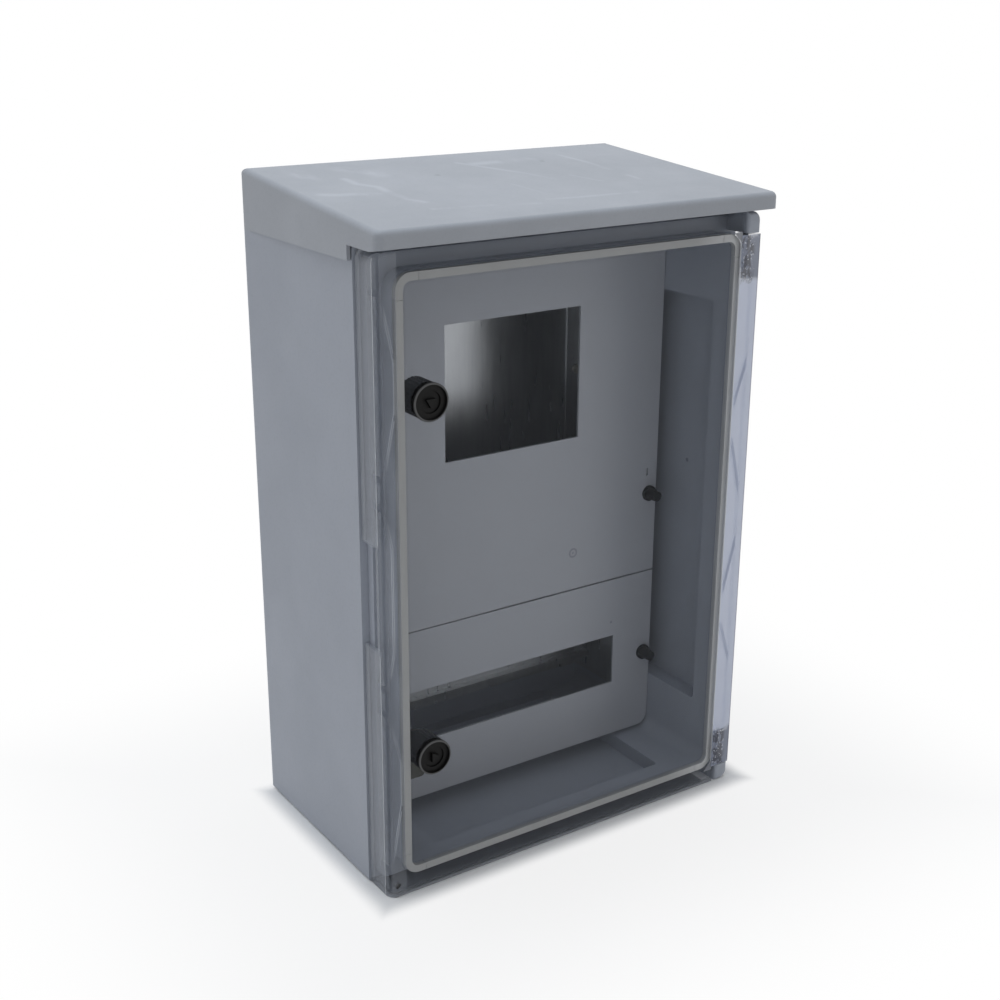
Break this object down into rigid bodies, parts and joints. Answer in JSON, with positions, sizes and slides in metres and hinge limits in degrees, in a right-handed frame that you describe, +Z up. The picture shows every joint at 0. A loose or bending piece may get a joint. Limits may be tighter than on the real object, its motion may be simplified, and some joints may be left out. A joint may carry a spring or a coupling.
{
  "type": "electrical panel",
  "caption": "Wall-mounted grey moulded meter and distribution box with a clear hinged door, sloping rain roof, turn locks and cover plates with cut-outs inside.",
  "frame": {"origin": "on the floor plane of the box, under the middle of the overall width and depth", "axes": "+X to the right seen from the front, +Y towards the wall behind the box, +Z up"},
  "size_m": [0.3634, 0.2196, 0.5439],
  "materials": {
    "box_grey": "satin moulded",
    "roof_grey": "satin moulded",
    "cover_grey": "smooth matte sheet",
    "zinc_sheet": "dull zinc plate",
    "zinc_fastener": "zinc plate",
    "clear_plastic": "clear polished",
    "seal": "matte foam rubber",
    "black_plastic": "satin black",
    "cam_steel": "dark plated"
  },
  "bodies": {
    "enclosure": {"body_shell": "box_grey", "rain_roof": "roof_grey", "roof_screws": "zinc_fastener", "mounting_plate": "zinc_sheet", "mounting_plate_screws": "zinc_fastener", "cover_support_left": "zinc_sheet", "cover_support_right": "zinc_sheet", "support_screws": "zinc_fastener", "device_rail": "zinc_sheet", "rail_brackets": "zinc_sheet", "bracket_screws": "zinc_fastener", "rail_screws": "zinc_fastener", "upper_cover": "cover_grey", "lower_cover": "cover_grey", "upper_hinge_pin": "zinc_fastener", "lower_hinge_pin": "zinc_fastener"},
    "door": {"door_panel": "clear_plastic", "gasket_lengths": "seal", "gasket_corners": "seal", "upper_lock_barrel": "black_plastic", "upper_lock_nut": "black_plastic", "lower_lock_barrel": "black_plastic", "lower_lock_nut": "black_plastic"},
    "upper_lock": {"upper_lock_plug": "black_plastic", "upper_lock_cam": "cam_steel", "upper_cam_screw": "zinc_fastener"},
    "lower_lock": {"lower_lock_plug": "black_plastic", "lower_lock_cam": "cam_steel", "lower_cam_screw": "zinc_fastener"},
    "upper_left_thumb": {"upper_left_thumb_screw": "black_plastic"},
    "upper_right_thumb": {"upper_right_thumb_screw": "black_plastic"},
    "lower_left_thumb": {"lower_left_thumb_screw": "black_plastic"},
    "lower_right_thumb": {"lower_right_thumb_screw": "black_plastic"}
  },
  "joints": [
    {"name": "door_hinge", "type": "hinge", "parent": "enclosure", "child": "door", "pos_m": [0.167, -0.08925, 0.255], "axis": [0, 0, 1], "range_deg": [0, 120]},
    {"name": "upper_lock_turn", "type": "hinge", "parent": "door", "child": "upper_lock", "pos_m": [-0.135, -0.09825, 0.4], "axis": [0, -1, 0], "range_deg": [0, 180]},
    {"name": "lower_lock_turn", "type": "hinge", "parent": "door", "child": "lower_lock", "pos_m": [-0.135, -0.09825, 0.116], "axis": [0, 1, 0], "range_deg": [-90, 90]},
    {"name": "upper_left_thumb_turn", "type": "hinge", "parent": "enclosure", "child": "upper_left_thumb", "pos_m": [-0.146, -0.00725, 0.2515], "axis": [0, 1, 0], "range_deg": [0, 90]},
    {"name": "upper_right_thumb_turn", "type": "hinge", "parent": "enclosure", "child": "upper_right_thumb", "pos_m": [0.146, -0.00725, 0.2515], "axis": [0, 1, 0], "range_deg": [0, 90]},
    {"name": "lower_left_thumb_turn", "type": "hinge", "parent": "enclosure", "child": "lower_left_thumb", "pos_m": [-0.146, -0.00725, 0.0965], "axis": [0, 1, 0], "range_deg": [0, 90]},
    {"name": "lower_right_thumb_turn", "type": "hinge", "parent": "enclosure", "child": "lower_right_thumb", "pos_m": [0.146, -0.00725, 0.0965], "axis": [0, 1, 0], "range_deg": [0, 90]}
  ]
}
